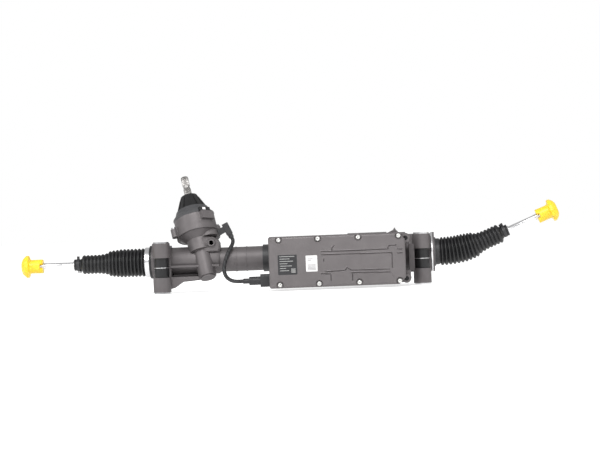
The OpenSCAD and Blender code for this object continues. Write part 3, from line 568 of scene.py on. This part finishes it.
# Input shaft: ground steel with 36 rolled splines on its free end and a groove for the
# clamp bolt of the column's joint.
tilt = math.radians(12.5)
lean = math.radians(22.0)
pinion_axis = np.array([-math.sin(tilt), math.cos(tilt) * math.sin(lean), math.cos(tilt) * math.cos(lean)])
pinion_from_middle, rack_to_pinion = 190.0, 18.6
pinion_foot = np.array([-pinion_from_middle, -rack_to_pinion * math.cos(lean),
                        rack_to_pinion * math.sin(lean)])
spline_count = 36
shaft_rows = np.array([
    [76.5, 2.7, 0], [76.5, 11.0, 0], [81.0, 11.0, 0], [81.0, 8.5, 0], [148.0, 8.5, 0], [149.0, 8.0, 0],
    [150.0, 8.0, 0], [151.5, 8.0, 0.8], [162.0, 8.0, 0.8], [163.0, 7.0, 0], [169.0, 7.0, 0],
    [170.0, 8.0, 0.8], [189.0, 8.0, 0.8], [190.5, 6.8, 0], [190.5, 3.0, 0], [188.5, 0.0, 0]])
tooth = np.array([0.0, 0.0, 0.5, 1.0, 1.0, 0.5])
shaft_sides = spline_count * len(tooth)
wave = np.tile(tooth, spline_count)
shaft_radii = shaft_rows[:, 1:2] - shaft_rows[:, 2:3] * wave[None, :]
points = turned(pinion_foot, pinion_axis, shaft_rows[:, 0], shaft_radii, shaft_sides)
shaft = new_piece("splined_input_shaft", gear_points(points), grid_faces(len(shaft_rows), shaft_sides))
shaft.data.materials.append(ground_steel)
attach(shaft, "input_shaft")
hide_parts("input_shaft")


# Caps: injection-moulded yellow plastic pushed over the threads for transport. A round hub
# has a notch that shows the thread, and a wide flange ends in a twelve-sided dome.
cap_sides = 96
facets = 12
notch_half_angle, notch_edge_angle, notch_length = 0.48, 0.06, 6.0
cap_angle = np.linspace(0, 2 * math.pi, cap_sides, endpoint=False)
facet_angle = (cap_angle % (2 * math.pi / facets)) - math.pi / facets
faceted = math.cos(math.pi / facets) / np.cos(facet_angle)
cap_rows = np.array([
    [208.0, 0.0, 0], [208.0, 7.3, 0], [176.8, 7.3, 0], [176.0, 8.2, 0], [176.0, 14.3, 0], [176.8, 15.0, 0],
    [189.0, 14.9, 0], [200.0, 14.8, 0], [203.0, 15.4, 0], [204.4, 17.5, 1], [206.2, 23.4, 1],
    [207.2, 24.0, 1], [211.6, 24.0, 1], [213.4, 23.0, 1], [219.0, 17.5, 1], [221.6, 12.0, 1],
    [221.9, 0.0, 1]])
notch = np.clip((notch_half_angle - np.abs(cap_angle - math.pi)) / notch_edge_angle, 0.0, 1.0)
notch_share = np.array([0, 0, 1, 1, 1, 1, 0, 0, 0, 0, 0, 0, 0, 0, 0, 0, 0.0])
cap_stations = cap_rows[:, :1] + notch_length * notch_share[:, None] * notch[None, :]
cap_radii = cap_rows[:, 1:2] * np.where(cap_rows[:, 2:] > 0, faceted[None, :], 1.0)
for word, side, rise in [("left", -1, 0.0), ("right", 1, right_rod_rise)]:
    along = (side * math.cos(rise), 0.0, math.sin(rise))
    points = turned((side * ball_from_middle, 0, 0), along, cap_stations, cap_radii, cap_sides)
    cap = new_piece(word + "_cap_moulding", gear_points(points), grid_faces(len(cap_rows), cap_sides))
    cap.data.materials.append(yellow_plastic)
    cap.data.set_sharp_from_angle(angle=math.radians(14))
    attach(cap, word + "_cap")
    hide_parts(word + "_cap")


# Cover screws: eight plated pan-head screws with six-lobed sockets, sunk in the cover's
# round pockets.
def join_meshes(name, parts):
    """One mesh of several (points, faces) pairs."""
    points, faces, start = [], [], 0
    for p, f in parts:
        points.append(np.asarray(p))
        faces.append(np.asarray(f) + start)
        start += len(p)
    return new_piece(name, np.concatenate(points), np.concatenate(faces))


cover_plane = -137.0
screw_x = [-20.0, 62.0, 146.0, 230.0]
screw_z = [39.0, -55.0]
head_sides = 48
socket_radius, lobe_height, lobe_count = 1.75, 0.3, 6
lobe_angle = np.linspace(0, 2 * math.pi, head_sides, endpoint=False)
socket = socket_radius + lobe_height * np.cos(lobe_count * lobe_angle)
head_depth = np.array([1.2, 1.2, -0.75, -0.85, -0.6, -0.1, 0.9, 3.5, 3.5, 8.0, 8.0])
head_radii = np.stack([np.zeros(head_sides), 0.95 * socket, socket]
                      + [np.full(head_sides, r) for r in (2.8, 3.6, 4.2, 4.3, 4.3, 2.4, 2.4, 0.0)])
screws = [(turned((x, cover_plane, z), (0, 1, 0), head_depth, head_radii, head_sides),
           grid_faces(len(head_depth), head_sides)) for x in screw_x for z in screw_z]
zinc = finish_material("zinc_screw", (0.62, 0.62, 0.6), (0.82, 0.82, 0.8), (0.3, 0.42), 0.55, drift=300.0)
heads = join_meshes("cover_screw_heads", [(gear_points(p), f) for p, f in screws])
heads.data.materials.append(zinc)
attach(heads, "gear_case")
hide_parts("cover_screws")


# Controller cover: a die-cast lid with bevelled edges, eight round screw pockets and thin
# raised channels that stiffen it. Its face is a height field over an outline with rounded
# corners on the left and cut ones on the right.
cover_low, cover_high = [(np.array(c) - gear_middle) * 1000.0 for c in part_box("controller_cover")]
corner, chamfer = 7.0, 14.0
bevel_width, bevel_depth = 5.5, 4.2
pocket_radius, pocket_depth = 7.0, 3.4
pocket_ease, pocket_wall = 0.4, 0.9
channel_half, ridge_height, hollow_depth = 0.7, 0.85, 1.4
ridge_reach, hollow_reach = 1.3, 1.5
hollow_right, hollow_below = 1.0, 1.7
far_away = 1e3
channels = [
    [(67, 12.6), (206, 13.2), (208, 20.2), (224, 20.9)], [(68, 6.5), (214.5, 5.2), (214, -26.6)],
    [(90, 13), (90, 20), (95, 24.5)], [(72, -2), (72, -7)],
    [(75, -29.4), (115.5, -27.8), (120.5, -21.7), (129.5, -28), (208.5, -28.7)],
    [(66, -33), (85.5, -34), (86, -48)], [(128.5, -33), (211, -34.8), (215, -43)],
    [(131, -34), (130.5, -49.5)], [(225, 12.5), (236, 12)], [(225, 4.5), (236, 4.2)]]


def from_segment(x, z, a, b):
    """Distance from each point of the cover's face to the segment from a to b."""
    a, b = np.array(a, float), np.array(b, float)
    d = b - a
    t = np.clip(((x - a[0]) * d[0] + (z - a[1]) * d[1]) / (d @ d), 0.0, 1.0)
    return np.hypot(x - a[0] - t * d[0], z - a[1] - t * d[1])


def channel_height(x, z):
    """Height of the channels' ridges, less the depth of a hollow just below and right of each.
    Either is its greatest value times clip(reach - distance / channel_half, 0, 1)."""
    ridge, hollow = np.full(x.shape, far_away), np.full(x.shape, far_away)
    for line in channels:
        for a, b in zip(line[:-1], line[1:]):
            ridge = np.minimum(ridge, from_segment(x, z, a, b))
            shifted = [(p[0] + hollow_right, p[1] - hollow_below) for p in (a, b)]
            hollow = np.minimum(hollow, from_segment(x, z, *shifted))
    return (ridge_height * np.clip(ridge_reach - ridge / channel_half, 0.0, 1.0)
            - hollow_depth * np.clip(hollow_reach - hollow / channel_half, 0.0, 1.0))


rows, columns = 166, 420
z_row = np.linspace(cover_low[2], cover_high[2], rows)[:, None]
z_mid, z_half = (cover_low[2] + cover_high[2]) / 2, (cover_high[2] - cover_low[2]) / 2
over = np.clip(np.abs(z_row - z_mid) - (z_half - corner), 0.0, corner)
x_left = cover_low[0] + corner - np.sqrt(corner ** 2 - over ** 2)
x_right = cover_high[0] - np.clip(np.abs(z_row - z_mid) - (z_half - chamfer), 0.0, chamfer)
x = x_left + (x_right - x_left) * np.linspace(0, 1, columns)[None, :]
z = np.broadcast_to(z_row, x.shape)
edge = np.minimum(np.minimum(x - x_left, x_right - x), z_half - np.abs(z - z_mid))
height = channel_height(x, z) - bevel_depth * (1 - np.clip(edge / bevel_width, 0, 1)) ** 2
for sx in screw_x:
    for sz in screw_z:
        sink = np.clip((pocket_radius + pocket_ease - np.hypot(x - sx, z - sz)) / pocket_wall, 0, 1)
        height = height * (1 - sink) - pocket_depth * sink
front = np.stack([x, cover_plane - height, z], 2).reshape(-1, 3)
grid = np.arange(rows * columns).reshape(rows, columns)
rim = np.concatenate([grid[0], grid[1:, -1], grid[-1, -2::-1], grid[-2:0:-1, 0]])
back = front[rim].copy()
back[:, 1] = cover_high[1]
centre = np.array([[(cover_low[0] + cover_high[0]) / 2, cover_high[1], z_mid]])
ring = np.arange(len(rim))
after = (ring + 1) % len(rim)
back_ring = rows * columns + ring
back_after = rows * columns + after
side_faces = np.stack([rim[ring], rim[after], back_after, back_ring], 1)
back_faces = np.stack([back_ring, back_after, np.full(len(rim), rows * columns + len(rim))], 1)
all_faces = (grid_faces(rows, columns, round_columns=False).tolist() + side_faces.tolist()
             + back_faces.tolist())
lid = new_piece("cover_with_channels", gear_points(np.concatenate([front, back, centre])), all_faces)
lid.data.materials.append(cover_metal)
lid.data.set_sharp_from_angle(angle=math.radians(50))
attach(lid, "gear_case")
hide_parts("controller_cover")


# Labels: a black foil plate and a white paper sticker, both glued to the cover. They carry
# only plain ruled bars and lines.
foil_thickness, foil_sunk = 0.2, 0.1


def foil(x0, x1, z0, z1, lift, radius=0.0):
    """A thin plate on the cover. Its corners are quarter circles of the given radius."""
    t = np.linspace(0, math.pi / 2, 5)
    corners = [(x1 - radius, z1 - radius, 0), (x0 + radius, z1 - radius, 1),
               (x0 + radius, z0 + radius, 2), (x1 - radius, z0 + radius, 3)]
    outline = np.concatenate([np.stack([cx + radius * np.cos(t + q * math.pi / 2),
                                        cz + radius * np.sin(t + q * math.pi / 2)], 1)
                              for cx, cz, q in corners])
    n = len(outline)
    y = cover_plane - lift
    near = np.insert(outline, 1, y - foil_thickness, axis=1)
    far = np.insert(outline, 1, y + foil_sunk, axis=1)
    i = np.arange(n)
    sides = np.stack([i, (i + 1) % n, n + (i + 1) % n, n + i], 1).tolist()
    return np.concatenate([near, far]), sides + [list(range(n)), list(range(2 * n - 1, n - 1, -1))]


def foils(name, plates, material):
    """Several foils in one piece that rides the gear's case."""
    points, faces, start = [], [], 0
    for plate in plates:
        p, f = foil(*plate)
        points.append(p)
        faces += [[start + i for i in face] for face in f]
        start += len(p)
    piece = new_piece(name, gear_points(np.concatenate(points)), faces)
    piece.data.set_sharp_from_angle(angle=math.radians(30))
    piece.data.materials.append(material)
    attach(piece, "gear_case")


black_foil = finish_material("black_label_foil", (0.02, 0.02, 0.022), (0.03, 0.03, 0.033), (0.3, 0.36))
white_paper = finish_material("white_sticker_paper", (0.84, 0.82, 0.82), (0.9, 0.88, 0.88), (0.5, 0.6))
light_ink = finish_material("light_ink", (0.3, 0.3, 0.3), (0.42, 0.42, 0.41), (0.5, 0.6), drift=400.0)
grey_ink = finish_material("grey_ink", (0.2, 0.2, 0.21), (0.3, 0.3, 0.31), (0.5, 0.6), drift=400.0)
foils("black_label_plate", [(-23.0, 17.0, -34.0, 7.5, 0.0, 1.5)], black_foil)
foils("white_sticker", [(35.5, 59.5, -29.0, 4.5, 0.0, 1.5)], white_paper)
bar_ends = [12.0, 2.0, 9.0, -3.0, 6.0, -6.0, 0.0]
bar_pitch, fine_pitch, line_pitch = 4.9, 1.9, 2.6
ink_lift = 0.2
bars = [(-19.0, end, 3.4 - bar_pitch * i, 4.7 - bar_pitch * i, ink_lift) for i, end in enumerate(bar_ends)]
bars += [(4.5, 13.5, -30.0 + fine_pitch * i, -28.9 + fine_pitch * i, ink_lift) for i in range(5)]
foils("label_ruled_bars", bars, light_ink)
lines = [(39.0, 56.0, -26.0 + line_pitch * i, -24.8 + line_pitch * i, ink_lift) for i in range(5)]
lines += [(39.0, 50.0, -3.0, -1.8, ink_lift), (39.0, 47.0, -6.0, -4.8, ink_lift)]
foils("sticker_ruled_lines", lines, grey_ink)


# Machined face: the right housing's cast flange is turned on a lathe on the side towards the
# eye, which leaves it bright.
flange_sides = 96
face_rows = np.array([[296.0, 29.8], [296.0, 40.6], [297.0, 42.0], [300.6, 42.15], [300.6, 29.8]])
points = turned((0, 0, 0), (1, 0, 0), face_rows[:, 0], face_rows[:, 1], flange_sides)
machined = new_piece("machined_flange_face", gear_points(points),
                     grid_faces(len(face_rows), flange_sides, True))
machined.data.materials.append(plated)
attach(machined, "gear_case")


# Pinion housing details: the casting swells round the rack under the tower, closes behind
# the shelf, and has a lug with a blind hole, whose floor is a black disc of painted shade, and two faint
# steps along its tube.
def swept_section(name, rows, material, place=(0.0, 0.0, 0.0), direction=(1, 0, 0), sides=96):
    """A closed ring whose section's corners are (station, radius) rows."""
    rows = np.array(rows, float)
    points = turned(place, direction, rows[:, 0], rows[:, 1], sides)
    piece = new_piece(name, gear_points(points), grid_faces(len(rows), sides, round_rows=True))
    piece.data.materials.append(material)
    piece.data.set_sharp_from_angle(angle=math.radians(40))
    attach(piece, "gear_case")


def bevelled_plate(name, outline, near, far, bevel):
    """A plate square to Y with bevelled rims. Each corner moves in along its two sides' mean normal."""
    p = np.array(outline, float)
    d = np.roll(p, -1, 0) - p
    d /= np.linalg.norm(d, axis=1)[:, None]
    inward = np.stack([-d[:, 1], d[:, 0]], 1)
    miter = inward + np.roll(inward, 1, 0)
    miter /= (miter * inward).sum(1)[:, None]
    small = p + bevel * miter
    rings = [(small, near), (p, near + bevel), (p, far - bevel), (small, far)]
    points = np.concatenate([np.insert(q, 1, y, axis=1) for q, y in rings])
    n = len(p)
    faces = grid_faces(4, n).tolist() + [list(range(n)), list(range(4 * n - 1, 3 * n - 1, -1))]
    piece = new_piece(name, gear_points(points), faces)
    piece.data.set_sharp_from_angle(angle=math.radians(30))
    piece.data.materials.append(cast_metal)
    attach(piece, "gear_case")


swept_section("housing_swell", [(-262, 25.6), (-262, 28.6), (-260, 29.6), (-158, 29.6), (-153, 26.4),
                                (-153, 25.6)], cast_metal)
swept_section("tube_step_near", [(-123, 25.6), (-122.6, 26.7), (-118.4, 26.7), (-118, 25.6)], cast_metal)
swept_section("tube_step_far", [(-99, 25.6), (-98.6, 26.7), (-96.4, 26.7), (-96, 25.6)], cast_metal)
bevelled_plate("shelf_edge", [(-262, -13.6), (-154, -13.6), (-154, -8.2), (-262, -8.2)], -38.0, -22.0, 1.2)
bevelled_plate("recess_wall", [(-262, -47), (-200, -42), (-200, -22), (-262, -22)], -8.0, 2.0, 1.0)
bevelled_plate("hole_lug", [(-190, 18), (-156, 18), (-152, 24), (-153, 36), (-158, 45), (-168, 50),
                            (-190, 50)], -31.0, 2.0, 2.5)
hole_place = (-170.0, -37.5, 37.6)
swept_section("hole_boss", [(0, 4.9), (0, 7.4), (1.2, 8.4), (9, 8.8), (9, 4.9)], cast_metal,
              place=hole_place, direction=(0, 1, 0), sides=48)
# Painted shade: a black rubber disc at the blind hole's floor stands for the shade deep in the hole.
swept_section("hole_floor_shade", [(6.5, 0.02), (6.5, 5.0), (8.5, 5.0), (8.5, 0.02)], rubber,
              place=hole_place, direction=(0, 1, 0), sides=48)


# Boot ends: a black rubber ring on the left flange's rim, which paints the shade along that rim,
# and a dark moulded step behind the right clamp.
# Painted shade: a black ring stands for the shaded rim of the left flange.
swept_section("left_flange_rim_shade", [(-305.3, 32.2), (-305.3, 34.6), (-304.4, 35.4), (-300.6, 35.4),
                                   (-300.6, 34.0)], rubber)
swept_section("right_boot_step", [(304.05, 24.5), (304.05, 31.2), (306.9, 30.0), (306.9, 24.5)],
              grey_plastic)


# Mounting eyes: each holds two rubber bushes, and a thin plated ring where their inner edges
# meet paints the highlight along those edges as a bright line in the eye's window.
eye_from_middle, rack_behind_eye, rack_above_eye = 277.0, 44.0, 12.0
for word, eye_x in [("left", -eye_from_middle), ("right", eye_from_middle)]:
    # Painted highlight: a bright plated ring stands for the lit meeting edges of the rubber bushes.
    swept_section(word + "_bush_joint_highlight", [(-0.6, 15.2), (-0.6, 15.9), (0.6, 15.9), (0.6, 15.2)], plated,
                  place=(eye_x, -rack_behind_eye, -rack_above_eye),
                  direction=(0, 0, 1), sides=64)


# Corner bosses: two drilled bosses stand at the cover's right corners, each with a black rubber
# disc down its bore that paints the shade deep in the hole, and a small cast tab stands on the
# case's top edge.
boss_x, boss_front = 244.0, -124.0
web_near, web_far = -116.0, -72.0
for word, boss_z in [("upper", 33.2), ("lower", -51.0)]:
    swept_section(word + "_corner_boss", [(0, 4.9), (0, 8.2), (1.2, 9.4), (52, 9.8), (52, 4.9)], cast_metal,
                  place=(boss_x, boss_front, boss_z), direction=(0, 1, 0), sides=48)
    # Painted shade: a black disc sunk in each boss's bore stands for the shade deep in the hole.
    swept_section(word + "_corner_hole_shade", [(5, 0.02), (5, 5.0), (9, 5.0), (9, 0.02)], rubber,
                  place=(boss_x, boss_front, boss_z), direction=(0, 1, 0), sides=48)
bevelled_plate("upper_corner_web", [(224, 44), (224, 20), (253, 20), (253, 34), (246, 42)],
               web_near, web_far, 1.2)
bevelled_plate("lower_corner_web", [(224, -59), (246, -59), (253, -52), (253, -34), (224, -34)],
               web_near, web_far, 1.2)
bevelled_plate("eye_web", [(249, -40), (262, -40), (262, 20), (249, 20)], -54.0, -40.0, 1.2)
bevelled_plate("edge_tab", [(204, 44), (232, 44), (225, 51), (222, 56), (219, 51)], -112.0, -104.0, 0.8)


# Clamp ears: the folded ends of the small clamps, one bright and one black. Each stands up
# from its clamp as a closed loop.
ear_band_half, ear_half, ear_height, ear_foot = 3.5, 3.2, 2.6, 0.6
ear_inner_share = np.array([0.62, 0.8])


def clamp_ear(name, base, along, outward, material, body):
    """A folded band end: half an ellipse on two short feet, with a smaller one cut out of it."""
    along, outward = np.array(along, float), np.array(outward, float)
    across = np.cross(along, outward)
    t = np.linspace(0, math.pi, 13)
    arch = np.stack([ear_half * np.cos(t), ear_height + ear_height * np.sin(t)], 1)
    arch = np.concatenate([[[ear_half, -ear_foot]], arch, [[-ear_half, -ear_foot]]])
    inner = arch * ear_inner_share
    loop = np.concatenate([arch, inner[::-1]])
    sides = [base + along * w + across * loop[:, :1] + outward * loop[:, 1:]
             for w in (-ear_band_half, ear_band_half)]
    n = len(loop)
    half = len(arch)
    faces = grid_faces(2, n).tolist()
    for k in range(half - 1):
        faces += [[k, k + 1, n - 2 - k, n - 1 - k], [n + k, n + n - 1 - k, n + n - 2 - k, n + k + 1]]
    piece = new_piece(name, gear_points(np.concatenate(sides)), faces)
    piece.data.materials.append(material)
    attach(piece, body)


ear_station, clamp_surface = 97.0, 12.4
left_ear_place = np.array([-ball_from_middle - ear_station, 0.0, -clamp_surface])
clamp_ear("left_clamp_ear", left_ear_place, (-1, 0, 0), (0, 0, -1), dull_steel, "left_rod")
rod_line = np.array([math.cos(right_rod_rise), 0.0, math.sin(right_rod_rise)])
rod_up = np.array([-rod_line[2], 0.0, rod_line[0]])
right_ear_place = np.array([ball_from_middle, 0, 0]) + ear_station * rod_line + clamp_surface * rod_up
clamp_ear("right_clamp_ear", right_ear_place, rod_line, rod_up, rubber, "right_rod")


# Wiring clip: a small black moulded clip with a light dot, pushed on the collar above the
# sensor's port.
clip_turn = math.radians(37.0)
pinion_x_axis = np.cross((0.0, math.cos(lean), -math.sin(lean)), pinion_axis)
pinion_y_axis = np.array([0.0, math.cos(lean), -math.sin(lean)])
clip_out = math.sin(clip_turn) * pinion_x_axis - math.cos(clip_turn) * pinion_y_axis
clip_side = np.cross(pinion_axis, clip_out)


def block_on_tower(name, out, side, up, material, rim=0.8):
    """A block with eased rims: each argument is its (low, high) reach out, aside and up the tower."""
    rings = []
    for depth, ease in [(out[0], rim), (out[0] + rim, 0), (out[1] - rim, 0), (out[1], rim)]:
        for a, b in [(side[0] + ease, up[0] + ease), (side[1] - ease, up[0] + ease),
                     (side[1] - ease, up[1] - ease), (side[0] + ease, up[1] - ease)]:
            rings.append(pinion_foot + depth * clip_out + a * clip_side + b * pinion_axis)
    faces = grid_faces(4, 4).tolist() + [[0, 1, 2, 3], [15, 14, 13, 12]]
    piece = new_piece(name, gear_points(rings), faces)
    piece.data.set_sharp_from_angle(angle=math.radians(30))
    piece.data.materials.append(material)
    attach(piece, "gear_case")


block_on_tower("wiring_clip", (37.0, 47.5), (-13.0, 13.0), (88.6, 97.5), rubber)
block_on_tower("clip_dot", (47.0, 48.2), (-7.0, 1.0), (90.5, 96.0), white_paper, 0.4)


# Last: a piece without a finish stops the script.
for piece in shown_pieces():
    if not piece.data.materials:
        raise RuntimeError(piece.name + " has no material")
